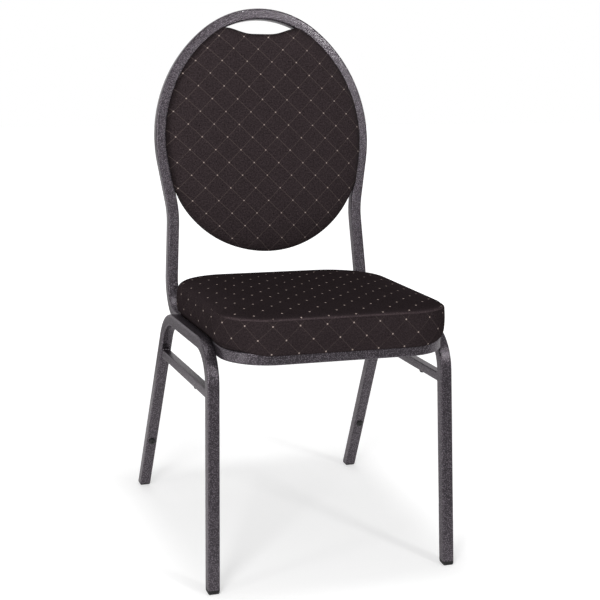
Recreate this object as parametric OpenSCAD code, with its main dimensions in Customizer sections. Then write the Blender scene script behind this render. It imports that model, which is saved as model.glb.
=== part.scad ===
// Stacking chair: square tube hoop back, welded leg frames, upholstered seat and back.
// Units are millimetres and degrees. The chair faces -Y, stands on z = 0 and is centred on x = 0.

/* [Frame tube] */
// Side of the square tube of the hoop, the seat ring and the legs
tube = 20; // [18:0.5:22]
// Outside corner radius of the frame tube
tube_r = 3; // [2:0.1:3.4]
// Wall of the frame tube
tube_wall = 1.5; // [1.2:0.1:2]
// Side of the square tube of the stretchers and the rear cross bar
bar = 15; // [12:0.5:16]
// Outside corner radius of the stretcher tube
bar_r = 2; // [1.5:0.1:2.5]
// Wall of the stretcher tube
bar_wall = 1.2; // [1:0.1:1.5]

/* [Back hoop] */
// Backward lean of the hoop from upright
back_lean = 11.4; // [8:0.1:14]
// Centre line radius of the top arc
top_r = 163.2; // [158:0.1:168]
// Half angle that the top arc covers
top_half = 37.6; // [36:0.1:39]
// Centre line radius of the two shoulder arcs
shoulder_r = 247.4; // [242:0.1:254]
// Inward slope of the hoop sides below the shoulders
waist = 9.4; // [9:0.1:10]
// Length of the straight sides below the shoulders
side_run = 71.4; // [66:0.1:76]
// Centre line radius of the neck, where the sides turn outward again
neck_r = 193; // [180:1:205]
// Outward slope of the uprights below the neck
splay = 3.6; // [3.4:0.1:4.2]
// Centre line radius of the bend from each upright into its seat rail
lower_bend_r = 61; // [58:0.5:66]

/* [Seat ring] */
// Half of the distance between the two seat rails, centre lines
rail_x = 185; // [184:0.1:187]
// Downward slope of the seat ring to the rear
seat_slope = 3.15; // [2.5:0.05:4]
// Height of the ring's centre line at y = 0
ring_z = 382.2; // [376:0.1:388]
// Where the planes of the hoop and of the seat ring cross
ring_rear_y = 146.4; // [143:0.1:150]
// Centre line of the front bar
ring_front_y = -252.9; // [-258:0.1:-248]
// Centre line radius of the two front corners
ring_corner_r = 70.8; // [65:0.1:75]
// Inward turn of the seat rails to the front
ring_toe = 0.5; // [0.3:0.1:0.8]

/* [Leg frames] */
// Half of the distance between the front feet, centre lines
foot_x = 209.6; // [209:0.1:214]
// Centre of the front feet on the floor
front_foot_y = -241.9; // [-246:0.1:-238]
// Centre of the rear feet on the floor
rear_foot_y = 246.4; // [242:0.1:250]
// Height of the leg frame's top rail at y = 0, centre line
rail_z = 387.7; // [386:0.1:390]
// Backward rake of the front legs to the top
front_rake = 7.34; // [6:0.01:8]
// Forward rake of the rear legs to the top
rear_rake = 23.08; // [22:0.01:24]
// Centre line radius of the bend over the front legs
front_bend_r = 65; // [60:1:70]
// Centre line radius of the bend over the rear legs
rear_bend_r = 73; // [68:1:78]
// Inward lean of each leg frame to the top
leg_lean = 1.03; // [0.9:0.01:1.1]
// Outward turn of each leg frame to the rear
leg_turn = 0.7; // [0.6:0.01:0.8]
// Distance from the top rail down to the stretcher, centre lines
stretcher_drop = 74.8; // [68:0.1:80]
// Height of the plastic glide that shows under a front leg
front_glide_h = 8; // [6:0.5:10]
// Height of the plastic glide that shows under a rear leg
rear_glide_h = 4.5; // [4:0.5:8]

/* [Seat] */
// Half of the cushion's width
cushion_x = 198; // [196:0.5:199]
// Front of the cushion, measured along the seat from the crossing of hoop and ring
cushion_front = -413.6; // [-416:0.1:-411]
// Rear of the cushion, measured the same way
cushion_rear = 8; // [4:0.5:9]
// Corner radius of the cushion at the front
cushion_front_r = 86; // [80:1:92]
// Corner radius of the cushion at the rear
cushion_rear_r = 106; // [98:1:112]
// Height of the cushion's boxed side, from the seat board's lower face
cushion_h = 52; // [46:0.5:56]
// Rise of the cushion's top over its edge
cushion_crown = 6; // [3:0.5:9]
// Thickness of the plywood seat board
seat_board_t = 12; // [10:0.5:12]

/* [Back] */
// Radius of the round lower edge of the back pad
pad_lower_r = 185.6; // [182:0.2:190]
// Overlap of the back pad's edge on the front of the hoop tube
pad_lap = 2.8; // [2:0.1:4]
// Depth of the back pad's front, from the hoop's middle plane
pad_front = 33.5; // [28:0.5:36]
// Gap between the hoop's top and the notch in the pad
hand_gap = 30.5; // [28:0.5:34]
// Half width of the notch at its mouth
notch_x = 72; // [64:1:76]
// Thickness of the plywood back board
back_board_t = 9; // [8:0.5:9]

/* [Fixings] */
// Diameter of the machine screws that hold the seat
screw_d = 6; // [5:0.5:7]
// Diameter of the screws that hold the back
back_screw_d = 4.2; // [3.6:0.2:5]
// Thickness of the lugs that carry the seat
lug_t = 3; // [2.5:0.5:4]
// Height of the rubber buffer on each rear leg
leg_buffer_z = 112; // [90:1:140]
// Distance of the rubber buffer under each stretcher from the front foot
stretcher_buffer_x = 136; // [110:1:170]

/* [Hidden] */
$fn = 48;

// Where the hoop plane and the ring plane cross
cross_y = ring_rear_y;
cross_z = ring_z - tan(seat_slope) * ring_rear_y;

// Straight tubes run this far into the bends, whose walls are drawn thinner by this much
lap = 0.8;
bend_draw = 0.02;

// Hoop, in its own plane: x across, y up the back from the crossing
ease_r = 150;
short_run = 3;
bend_turn = 90 - back_lean + seat_slope;
bend_t = lower_bend_r * tan(bend_turn / 2);
shoulder_cx = -(shoulder_r - top_r) * sin(top_half);
side_top_x = shoulder_cx + shoulder_r * cos(waist);
side_low_x = side_top_x - side_run * sin(waist);
neck_cx = side_low_x + neck_r * cos(waist);
neck_low_x = neck_cx - neck_r * cos(splay);
ease_x = rail_x - ease_r * (1 - cos(splay));
low_run = (ease_x - neck_low_x) / sin(splay);
ease_y = bend_t + short_run + ease_r * sin(splay);
neck_low_y = ease_y + low_run * cos(splay);
neck_cy = neck_low_y + neck_r * sin(splay);
side_low_y = neck_cy + neck_r * sin(waist);
side_top_y = side_low_y + side_run * cos(waist);
shoulder_cy = side_top_y + shoulder_r * sin(waist);
top_cy = shoulder_cy + (shoulder_r - top_r) * cos(top_half);
hoop_top = top_cy + top_r + tube / 2;

// Seat ring, in its own plane: x across, y along the seat from the crossing
toe_r = 300;
toe_x = rail_x - toe_r * (1 - cos(ring_toe));
toe_y = -bend_t - short_run - toe_r * sin(ring_toe);
front_v = (ring_front_y - ring_rear_y) / cos(seat_slope);
corner_vx = toe_x + tan(ring_toe) * (front_v - toe_y);
corner_t = ring_corner_r * tan((90 - ring_toe) / 2);
corner_sx = corner_vx + corner_t * sin(ring_toe);
corner_sy = front_v + corner_t * cos(ring_toe);
corner_cx = corner_sx - ring_corner_r * cos(ring_toe);
corner_cy = corner_sy + ring_corner_r * sin(ring_toe);
joint_v = -262;
joint_x = toe_x + tan(ring_toe) * (joint_v - toe_y);
ring_top = tube / 2;

// Leg frame, in its own plane: x to the rear from the front foot, y up
foot_gap = rear_foot_y - front_foot_y;
front_up = 90 - front_rake;
rear_down = rear_rake - 90;
rail_0 = rail_z - tan(seat_slope) * front_foot_y;
v1_y = rail_0 / (1 + tan(seat_slope) * tan(front_rake));
v1_x = v1_y * tan(front_rake);
v2_y = (rail_0 - tan(seat_slope) * foot_gap) / (1 - tan(seat_slope) * tan(rear_rake));
v2_x = foot_gap - v2_y * tan(rear_rake);
t1 = front_bend_r * tan((front_up + seat_slope) / 2);
t2 = rear_bend_r * tan((-rear_down - seat_slope) / 2);
front_len = v1_y / cos(front_rake) - t1;
rear_len = v2_y / cos(rear_rake) - t2;
rail_len = (v2_x - v1_x) / cos(seat_slope) - t1 - t2;
below = 12;

// Stretchers and rear cross bar, before their ends are cut
stretcher_from = 30;
stretcher_len = 345;
cross_bar_v = -82;
weld_gap = 0.4;

// Lugs: places of their holes, lengths along the tubes and thickness of the back's
seat_lug_x = 158;
seat_lug_v = [-120, -300];
seat_lug_w = 30;
back_lug_x = 158;
back_lug_y = [234, 392];
back_lug_w = 24;
back_lug_t = 2.5;
lug_end = 12;
hole_play = 1;

// Screws and T-nuts: diameter and height of each head, socket, barrel and flange
seat_screw_l = 13;
seat_head = [12, 3.6];
seat_socket = [4.6, 2.2];
back_screw_l = 9;
back_head = [9, 2.2];
back_socket = [3, 1.4];
nut_barrel_d = 8;
nut_flange = [18, 1.3];
nut_inset = 2;

// Boards, from the ring's and the hoop's middle planes, and the covered parts round them
board_z = ring_top + 1;
board_front = 5;
board_rear = board_front - back_board_t;
rear_panel_t = 3.2;
rear_panel_z = -tube / 2 - 2.4;
liner_t = 0.6;
liner_in = 18;
board_in = 9.3;

// Sections of the seat cushion: set-in of the outline and height over the board's lower face
seat_section = [[9, seat_board_t + 0.2], [9, -0.4], [6.4, -0.4], [6, 6.2], [1.2, 6.4], [0, 16.2],
    [0, cushion_h - 12], [1.5, cushion_h - 4], [6, cushion_h], [26, cushion_h + cushion_crown * 0.6],
    [60, cushion_h + cushion_crown]];

// Section of the back pad: growth over the hoop's insides, growth at the free lower edge and height
// over the front of the hoop tube
pad_depth = pad_front - tube / 2;
pad_section = [[-2, -2, -4.8], [-0.8, -0.6, 0], [-0.8, -0.6, 0.4], [pad_lap, 0, 0.6], [pad_lap, 0, 2.4],
    [pad_lap - 2, -2, 6], [pad_lap - 6, -6, 10.5], [pad_lap - 13, -13, 15],
    [pad_lap - 26, -26, pad_depth - 4], [pad_lap - 48, -48, pad_depth]];

// Centre of the pad's lower edge, and the notch's flat floor and mouth
lower_cy = 288.8;
notch_floor_x = 18;
notch_a = acos(notch_x / (top_r - tube / 2));

// Buffers and glides
leg_buffer_d = 12.5;
leg_buffer_stem = 6;
stretcher_buffer_d = 9;
stretcher_buffer_stem = 5;
stem_play = 0.2;
plug_l = 24;
plug_play = 0.2;

// A square with round corners
module round_square(a, r) {
  square([a - 2 * r, a], center = true);
  square([a, a - 2 * r], center = true);
  for (i = [-1, 1], j = [-1, 1]) translate([i * (a / 2 - r), j * (a / 2 - r)]) circle(r);
}

// Wall of a square tube
module tube_wall_2d(a, r, t) {
  difference() {
    round_square(a, r);
    round_square(a - 2 * t, r - t);
  }
}

// A straight tube in the drawing plane, from point p in direction a, longer by the lap at both ends
module run(p, a, len, size = tube, r = tube_r, t = tube_wall, over = lap) {
  translate([p[0], p[1], 0]) rotate([0, 0, a]) rotate([90, 0, 90]) translate([0, 0, -over])
    linear_extrude(len + 2 * over) tube_wall_2d(size, r, t);
}

// A bent tube in the drawing plane, round centre c from angle a0 to angle a1.
// The wall is thinner by the draw on both faces, so that a straight end sleeves over it.
module bend(c, radius, a0, a1, draw = bend_draw) {
  translate([c[0], c[1], 0]) rotate([0, 0, a0]) rotate_extrude(angle = a1 - a0, $fn = 72)
    translate([radius, 0]) tube_wall_2d(tube - 2 * draw, tube_r, tube_wall - 2 * draw);
}

// The other side of the chair as well
module both_sides() {
  children();
  mirror([1, 0, 0]) children();
}

// The hoop's plane: x across, y up the back, z out of the front of the back
module hoop_plane() {
  translate([0, cross_y, cross_z]) rotate([90 - back_lean, 0, 0]) children();
}

// The ring's plane: x across, y to the rear, z up
module ring_plane() {
  translate([0, cross_y, cross_z]) rotate([-seat_slope, 0, 0]) children();
}

// The right leg frame's plane: x to the rear, y up, z outward
module leg_plane() {
  translate([foot_x, front_foot_y, 0]) rotate([0, 0, -leg_turn]) rotate([0, -leg_lean, 0])
    rotate([90, 0, 90]) children();
}

// One side of the hoop, from the start of the lower bend up to the top arc
module hoop_side() {
  run([rail_x, bend_t], 90, short_run);
  bend([rail_x - ease_r, bend_t + short_run], ease_r, 0, splay);
  run([ease_x, ease_y], 90 + splay, low_run);
  bend([neck_cx, neck_cy], neck_r, 180 - waist, 180 + splay);
  run([side_low_x, side_low_y], 90 - waist, side_run);
  bend([shoulder_cx, shoulder_cy], shoulder_r, -waist, 90 - top_half);
}

// Bend from the upright forward into the seat rail
module lower_bend() {
  translate([rail_x, cross_y + bend_t * sin(back_lean), cross_z + bend_t * cos(back_lean)])
    translate([0, -lower_bend_r * cos(back_lean), lower_bend_r * sin(back_lean)])
    rotate([90, 0, 90]) bend([0, 0], lower_bend_r, -90 - seat_slope, -back_lean);
}

// Seat rail, from the lower bend to the joint with the front bow
module seat_rail() {
  run([rail_x, -bend_t], -90, short_run);
  bend([rail_x - toe_r, -bend_t - short_run], toe_r, -ring_toe, 0);
  run([toe_x, toe_y], -90 - ring_toe, (toe_y - joint_v) / cos(ring_toe) - lap);
}

module back_hoop() {
  color("dimgray") union() {
    hoop_plane() {
      both_sides() hoop_side();
      bend([0, top_cy], top_r, 90 - top_half - 0.3, 90 + top_half + 0.3, 0);
    }
    both_sides() lower_bend();
    ring_plane() both_sides() seat_rail();
  }
}

// Front half of the seat ring: two rail ends, two corners and the front bar
module seat_front_bow() {
  color("gray") ring_plane() {
    both_sides() {
      run([joint_x - (lap + 0.05) * sin(ring_toe), joint_v - (lap + 0.05) * cos(ring_toe)],
        -90 - ring_toe, (joint_v - corner_sy) / cos(ring_toe) - lap - 0.05);
      bend([corner_cx, corner_cy], ring_corner_r, -90, -ring_toe);
    }
    run([-corner_cx, front_v], 0, 2 * corner_cx);
  }
}

// Path of one leg frame's tube
module leg_tube() {
  run([-below * sin(front_rake), -below * cos(front_rake)], front_up, front_len + below);
  bend([v1_x - t1 * sin(front_rake) + front_bend_r * cos(front_rake),
      v1_y - t1 * cos(front_rake) - front_bend_r * sin(front_rake)],
    front_bend_r, 90 - seat_slope, 90 + front_up);
  run([v1_x + t1 * cos(seat_slope), v1_y - t1 * sin(seat_slope)], -seat_slope, rail_len);
  bend([v2_x - t2 * cos(seat_slope) - rear_bend_r * sin(seat_slope),
      v2_y + t2 * sin(seat_slope) - rear_bend_r * cos(seat_slope)],
    rear_bend_r, 90 + rear_down, 90 - seat_slope);
  run([v2_x + t2 * sin(rear_rake), v2_y - t2 * cos(rear_rake)], rear_down, rear_len + below);
}

// Place on the rear leg's front face at height h, with z out of the face
module on_rear_leg(h) {
  translate([foot_gap - h * tan(rear_rake), h, 0]) rotate([0, 0, rear_down])
    rotate([90, 0, 0]) translate([0, 0, tube / 2]) children();
}

// Place under the stretcher, with z down out of its lower face
module under_stretcher(p) {
  translate([0, rail_0 - stretcher_drop, 0]) rotate([0, 0, -seat_slope])
    translate([p, -bar / 2, 0]) rotate([90, 0, 0]) children();
}

// A block over a foot, wider than the leg
module above_foot() {
  translate([-2 * tube, -2 * tube, 0]) cube([4 * tube, 4 * tube, 2 * tube]);
}

// Right leg frame: front leg, top rail and rear leg in one tube, cut level above the glides
module leg_frame() {
  difference() {
    leg_plane() leg_tube();
    translate([foot_x, front_foot_y, front_glide_h]) mirror([0, 0, 1]) above_foot();
    translate([foot_x, rear_foot_y, rear_glide_h]) mirror([0, 0, 1]) above_foot();
    leg_plane() on_rear_leg(leg_buffer_z) translate([0, 0, -4])
      cylinder(d = leg_buffer_stem + stem_play, h = 8);
  }
}

module right_leg_frame() {
  color("slategray") leg_frame();
}

module left_leg_frame() {
  color("slategray") mirror([1, 0, 0]) leg_frame();
}

// What a leg's inner face and all beyond it take up, on the side given by out
module leg_cut(x, a, out) {
  wide = 5 * tube;
  translate([x, 0, 0]) rotate([0, 0, a]) translate([0, -wide / 2 + out * (wide - tube) / 2, 0])
    translate([wide, 0, -tube]) cube([4 * wide, wide, 2 * tube]);
}

// Right stretcher, cut to the slope of both legs
module stretcher() {
  leg_plane() difference() {
    run([stretcher_from, rail_0 - stretcher_drop - stretcher_from * tan(seat_slope)],
      -seat_slope, stretcher_len, bar, bar_r, bar_wall);
    leg_cut(0, front_up, 1);
    leg_cut(foot_gap, 180 + rear_down, -1);
    under_stretcher(stretcher_buffer_x) translate([0, 0, -3])
      cylinder(d = stretcher_buffer_stem + stem_play, h = 6);
  }
}

module right_stretcher() {
  color("gray") stretcher();
}

module left_stretcher() {
  color("gray") mirror([1, 0, 0]) stretcher();
}

// Cross bar between the seat rails, behind the middle of the seat
module rear_cross_bar() {
  color("gray") ring_plane() translate([0, 0, ring_top - bar / 2])
    run([-rail_x + tube / 2 + weld_gap, cross_bar_v], 0, 2 * (rail_x - tube / 2 - weld_gap),
      bar, bar_r, bar_wall, 0);
}

// Inside of the seat rail, at v along the seat
function rail_in(v) = toe_x + tan(ring_toe) * (v - toe_y) - tube / 2;

// Four flat lugs inside the seat rails, one hole in each
module seat_lugs() {
  color("dimgray") ring_plane() both_sides() for (v = seat_lug_v) difference() {
    translate([seat_lug_x - lug_end, v - seat_lug_w / 2, ring_top - lug_t])
      cube([rail_in(v) - seat_lug_x + lug_end + 0.1, seat_lug_w, lug_t]);
    translate([seat_lug_x, v, ring_top - lug_t - 1]) cylinder(d = screw_d + hole_play, h = lug_t + 2);
  }
}

// Half width between the insides of the hoop's sides at height y
function hoop_in(y) = y > side_top_y
  ? shoulder_cx + sqrt(pow(shoulder_r - tube / 2, 2) - pow(y - shoulder_cy, 2))
  : side_top_x - (side_top_y - y) * tan(waist) - tube / 2 / cos(waist);

// Four flat lugs on the insides of the hoop, one hole in each
module back_lugs() {
  color("dimgray") hoop_plane() both_sides() for (y = back_lug_y) difference() {
    translate([back_lug_x - lug_end, y - back_lug_w / 2, board_rear - back_lug_t])
      cube([hoop_in(y) - back_lug_x + lug_end - 0.5, back_lug_w, back_lug_t]);
    translate([back_lug_x, y, board_rear - back_lug_t - 1])
      cylinder(d = back_screw_d + hole_play, h = back_lug_t + 2);
  }
}

// Outline of the seat, set in by d, as points: four corner arcs of the same step
function seat_corner(x, y, r, a0) = [for (a = [a0 : 9 : a0 + 90]) [x + r * cos(a), y + r * sin(a)]];
function seat_line(d) = concat(
  seat_corner(cushion_x - cushion_rear_r, cushion_rear - cushion_rear_r, cushion_rear_r - d, 0),
  seat_corner(cushion_rear_r - cushion_x, cushion_rear - cushion_rear_r, cushion_rear_r - d, 90),
  seat_corner(cushion_front_r - cushion_x, cushion_front + cushion_front_r, cushion_front_r - d, 180),
  seat_corner(cushion_x - cushion_front_r, cushion_front + cushion_front_r, cushion_front_r - d, 270));

// A closed body through rings of points that all have the same count
module through(rings) {
  n = len(rings[0]);
  m = len(rings);
  points = [for (r = rings) each r];
  sides = [for (k = [0 : m - 2], i = [0 : n - 1])
    [k * n + i, (k + 1) * n + i, (k + 1) * n + (i + 1) % n, k * n + (i + 1) % n]];
  first = [for (i = [0 : n - 1]) i];
  last = [for (i = [0 : n - 1]) (m - 1) * n + n - 1 - i];
  polyhedron(points, concat([first], sides, [last]), convexity = 6);
}

function at_height(line, z) = [for (p = line) [p[0], p[1], z]];

// Foam and cover of the seat, boxed, over and round the board
module seat_cushion() {
  color("sienna") ring_plane()
    through([for (p = seat_section) at_height(seat_line(p[0]), board_z + p[1])]);
}

// Plywood board of the seat, with holes for the T-nuts
module seat_board() {
  color("burlywood") ring_plane() difference() {
    translate([0, 0, board_z]) linear_extrude(seat_board_t) polygon(seat_line(board_in));
    both_sides() for (v = seat_lug_v) translate([seat_lug_x, v, board_z - 1]) {
      cylinder(d = nut_barrel_d + 0.4, h = seat_board_t + 2);
      translate([0, 0, seat_board_t - nut_flange[1] + 0.9]) cylinder(d = nut_flange[0] + 0.6, h = 3);
    }
  }
}

// Thin black cloth under the seat board
module seat_liner() {
  color("black") ring_plane() difference() {
    translate([0, 0, ring_top + 0.2]) linear_extrude(liner_t) polygon(seat_line(liner_in));
    both_sides() for (v = seat_lug_v) translate([seat_lug_x, v, ring_top])
      cylinder(d = screw_d + 3, h = 2);
  }
}

// Four T-nuts, flange on the upper face of the board
module seat_t_nuts() {
  color("silver") ring_plane() both_sides() for (v = seat_lug_v)
    translate([seat_lug_x, v, board_z + nut_inset]) difference() {
      union() {
        cylinder(d = nut_barrel_d, h = seat_board_t - nut_inset - 0.8);
        translate([0, 0, seat_board_t - nut_inset - nut_flange[1]])
          cylinder(d = nut_flange[0], h = nut_flange[1]);
      }
      translate([0, 0, -1]) cylinder(d = screw_d + 0.2, h = seat_board_t + 2);
    }
}

// Four machine screws up through the seat lugs
module seat_screws() {
  color("silver") ring_plane() both_sides() for (v = seat_lug_v)
    translate([seat_lug_x, v, ring_top - lug_t]) difference() {
      union() {
        translate([0, 0, -seat_head[1]]) cylinder(d = seat_head[0], h = seat_head[1]);
        cylinder(d = screw_d, h = seat_screw_l);
      }
      translate([0, 0, -seat_head[1] - 1])
        cylinder(d = seat_socket[0], h = seat_socket[1] + 1, $fn = 6);
    }
}

// Notch at the pad's top, for the hand: half width of its mouth and height at x, grown by g
function notch_mouth(g) = (top_r - tube / 2 + g) * cos(notch_a);
function notch_y(x, g) = hoop_top - tube - hand_gap + g
  + (top_cy + (top_r - tube / 2 + g) * sin(notch_a) - hoop_top + tube + hand_gap - g)
  * (1 - cos(180 * max(0, x - notch_floor_x) / (notch_mouth(g) - notch_floor_x))) / 2;

// Points on an arc
function arc(x, y, r, angles) = [for (a = angles) [x + r * cos(a), y + r * sin(a)]];

// Right half of the back pad's outline, grown by g over the insides of the hoop and by low at its
// free lower edge
function pad_right(g, low) = concat(
  arc(0, lower_cy, pad_lower_r + low, [-90 : 6 : -27]),
  [for (y = [side_low_y + 24 : 12 : side_top_y - 6]) [hoop_in(y) + g, y]],
  arc(shoulder_cx, shoulder_cy, shoulder_r - tube / 2 + g, [-waist : 6 : 90 - top_half]),
  arc(0, top_cy, top_r - tube / 2 + g, [90 - top_half : (notch_a - 90 + top_half) / 3 : notch_a - 1]),
  [for (i = [11 : -1 : 1]) let (x = notch_mouth(g) * i / 11) [x, notch_y(x, g)]]);

// The whole outline
function flip_x(line) = [for (i = [len(line) - 1 : -1 : 1]) [-line[i][0], line[i][1]]];
function pad_line(g, low) = concat(pad_right(g, low), flip_x(pad_right(g, low)));

// Foam and cover of the back, in front of the board
module back_cushion() {
  color("sienna") hoop_plane()
    through([for (p = pad_section) at_height(pad_line(p[0], p[1]), tube / 2 + p[2])]);
}

// Plywood board of the back, inside the hoop, with pilot holes for the screws
module back_board() {
  color("burlywood") hoop_plane() difference() {
    translate([0, 0, board_rear]) linear_extrude(back_board_t) polygon(pad_line(-1.5, -1.5));
    both_sides() for (y = back_lug_y) translate([back_lug_x, y, board_rear - 1])
      cylinder(d = back_screw_d + 0.2, h = back_screw_l - 1);
  }
}

// Covered panel that closes the rear of the back
module back_rear_panel() {
  color("sienna") hoop_plane() translate([0, 0, rear_panel_z])
    linear_extrude(rear_panel_t) polygon(pad_line(-2, -1));
}

// Four pan head screws through the back lugs
module back_screws() {
  color("silver") hoop_plane() both_sides() for (y = back_lug_y)
    translate([back_lug_x, y, board_rear - back_lug_t]) difference() {
      union() {
        translate([0, 0, -back_head[1]]) cylinder(d = back_head[0], h = back_head[1]);
        cylinder(d = back_screw_d, h = back_screw_l);
      }
      translate([0, 0, -back_head[1] - 1])
        cylinder(d = back_socket[0], h = back_socket[1] + 1, $fn = 6);
    }
}

// Level slice of a leg at height z, set in by d: x, y is the foot and k the slope to the rear
module leg_slice(x, y, k, rake, z, d, h = 0.2) {
  translate([x - z * tan(leg_lean), y + z * k, z]) rotate([0, 0, -leg_turn])
    linear_extrude(h) scale([1, 1 / cos(rake)]) offset(delta = -d, $fn = 24) hull()
      for (i = [-1, 1], j = [-1, 1]) translate([i * (tube / 2 - tube_r), j * (tube / 2 - tube_r)])
        circle(tube_r, $fn = 24);
}

// Glide: a cap under the leg with a rounded sole, and a plug inside the tube
module glide(x, y, k, rake, cap) {
  hull() {
    leg_slice(x, y, k, rake, 0, 3.6);
    leg_slice(x, y, k, rake, 1, 1.6);
    leg_slice(x, y, k, rake, 2.6, 0.4);
    leg_slice(x, y, k, rake, cap - 0.2, 0);
  }
}

// Plug of a glide inside the leg tube
module plug(p, a) {
  leg_plane() translate([p, 0, 0]) rotate([0, 0, a]) rotate([90, 0, 90]) translate([0, 0, 3])
    linear_extrude(plug_l) round_square(tube - 2 * tube_wall - plug_play, max(0.8, tube_r - tube_wall));
}

module front_glide() {
  glide(foot_x, front_foot_y, tan(front_rake), front_rake, front_glide_h);
  intersection() {
    plug(0, front_up);
    translate([foot_x, front_foot_y, front_glide_h - 1]) above_foot();
  }
}

module rear_glide() {
  rear_x = foot_x + foot_gap * tan(leg_turn);
  glide(rear_x, rear_foot_y, -tan(rear_rake), rear_rake, rear_glide_h);
  intersection() {
    plug(foot_gap, 180 + rear_down);
    translate([rear_x, rear_foot_y, rear_glide_h - 1]) above_foot();
  }
}

module front_right_glide() {
  color("black") front_glide();
}

module front_left_glide() {
  color("black") mirror([1, 0, 0]) front_glide();
}

module rear_right_glide() {
  color("black") rear_glide();
}

module rear_left_glide() {
  color("black") mirror([1, 0, 0]) rear_glide();
}

// Round rubber buffer on the front of a rear leg
module leg_buffer() {
  leg_plane() on_rear_leg(leg_buffer_z) difference() {
    union() {
      cylinder(d = leg_buffer_d, h = 2);
      translate([0, 0, 2]) cylinder(d1 = leg_buffer_d, d2 = leg_buffer_d - 4.5, h = 1.6);
      translate([0, 0, -5]) cylinder(d = leg_buffer_stem, h = 5);
    }
    translate([0, 0, 1.2]) cylinder(d = 3.4, h = 4);
  }
}

module right_leg_buffer() {
  color("black") leg_buffer();
}

module left_leg_buffer() {
  color("black") mirror([1, 0, 0]) leg_buffer();
}

// Small rubber buffer under a stretcher
module stretcher_buffer() {
  leg_plane() under_stretcher(stretcher_buffer_x) {
    cylinder(d = stretcher_buffer_d, h = 3);
    translate([0, 0, 3]) cylinder(d1 = stretcher_buffer_d, d2 = stretcher_buffer_d - 3, h = 2);
    translate([0, 0, -4]) cylinder(d = stretcher_buffer_stem, h = 4);
  }
}

module right_stretcher_buffer() {
  color("black") stretcher_buffer();
}

module left_stretcher_buffer() {
  color("black") mirror([1, 0, 0]) stretcher_buffer();
}

back_hoop();
seat_front_bow();
left_leg_frame();
right_leg_frame();
left_stretcher();
right_stretcher();
rear_cross_bar();
seat_lugs();
back_lugs();
seat_board();
seat_cushion();
seat_liner();
seat_t_nuts();
seat_screws();
back_board();
back_cushion();
back_rear_panel();
back_screws();
front_left_glide();
front_right_glide();
rear_left_glide();
rear_right_glide();
left_leg_buffer();
right_leg_buffer();
left_stretcher_buffer();
right_stretcher_buffer();
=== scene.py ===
"""Dresses the stacking chair: hammered coat, upholstered seat and back, welds, fixings and a studio."""
import math

import bmesh
import bpy
import numpy as np
from bpy.props import FloatProperty, FloatVectorProperty, IntProperty, PointerProperty
from bpy.types import Operator, Panel, PropertyGroup
from mathutils import Matrix, Vector
from mathutils.bvhtree import BVHTree
from mathutils.kdtree import KDTree


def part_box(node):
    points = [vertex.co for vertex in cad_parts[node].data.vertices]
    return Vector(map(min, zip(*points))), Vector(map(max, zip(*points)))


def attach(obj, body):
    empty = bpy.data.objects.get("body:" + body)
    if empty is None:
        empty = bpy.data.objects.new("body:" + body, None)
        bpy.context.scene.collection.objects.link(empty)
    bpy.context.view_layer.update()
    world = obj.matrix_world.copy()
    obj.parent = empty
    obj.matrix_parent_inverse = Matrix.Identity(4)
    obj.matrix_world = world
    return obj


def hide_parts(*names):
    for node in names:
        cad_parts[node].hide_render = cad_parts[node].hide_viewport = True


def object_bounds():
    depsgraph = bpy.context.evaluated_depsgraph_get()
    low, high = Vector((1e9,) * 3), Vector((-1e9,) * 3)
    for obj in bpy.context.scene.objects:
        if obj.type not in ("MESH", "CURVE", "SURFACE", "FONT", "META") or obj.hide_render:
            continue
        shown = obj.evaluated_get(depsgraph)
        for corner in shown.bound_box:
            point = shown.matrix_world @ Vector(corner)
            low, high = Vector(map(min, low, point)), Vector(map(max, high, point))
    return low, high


bl_info = {
    "name": "Stacking Chair",
    "version": (1, 0, 0),
    "blender": (4, 5, 0),
    "location": "View3D > Sidebar > Chair",
    "description": "Dresses the stacking chair and sets up its studio",
    "category": "Object",
}

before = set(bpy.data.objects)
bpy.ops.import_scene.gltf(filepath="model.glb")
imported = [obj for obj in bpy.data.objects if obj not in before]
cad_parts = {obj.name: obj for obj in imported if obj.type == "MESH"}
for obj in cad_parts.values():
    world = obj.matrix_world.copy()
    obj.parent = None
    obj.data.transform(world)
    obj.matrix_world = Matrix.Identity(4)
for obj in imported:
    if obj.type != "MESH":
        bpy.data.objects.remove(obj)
CAD_BOX = [list(corner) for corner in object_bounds()]
BODY = "root"
MM = 0.001

FRAME_NODES = (
    "back_hoop", "seat_front_bow", "left_leg_frame", "right_leg_frame", "left_stretcher",
    "right_stretcher", "rear_cross_bar", "seat_lugs", "back_lugs",
)
BOARD_NODES = ("seat_board", "back_board")
FIXING_NODES = ("seat_t_nuts", "seat_screws", "back_screws")
GLIDE_NODES = ("front_left_glide", "front_right_glide", "rear_left_glide", "rear_right_glide")
BUFFER_NODES = (
    "left_leg_buffer", "right_leg_buffer", "left_stretcher_buffer", "right_stretcher_buffer",
)


# ---------------------------------------------------------------- settings

def length_setting(name, description, default, **limits):
    """A length setting, in metres."""
    return FloatProperty(name=name, description=description, unit="LENGTH", default=default, **limits)


def angle_setting(name, description, degrees):
    """An angle setting, given in degrees."""
    return FloatProperty(
        name=name, description=description, subtype="ANGLE", default=math.radians(degrees))


def colour_setting(name, description, *default):
    """A colour setting."""
    return FloatVectorProperty(
        name=name, description=description, subtype="COLOR", size=3, min=0, max=1, default=default)


def repeat_setting(name, description, x, y):
    """The way from one dot of the cloth to the next, given in millimetres."""
    return FloatVectorProperty(
        name=name, description=description, unit="LENGTH", size=2, default=(x * MM, y * MM))


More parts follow.
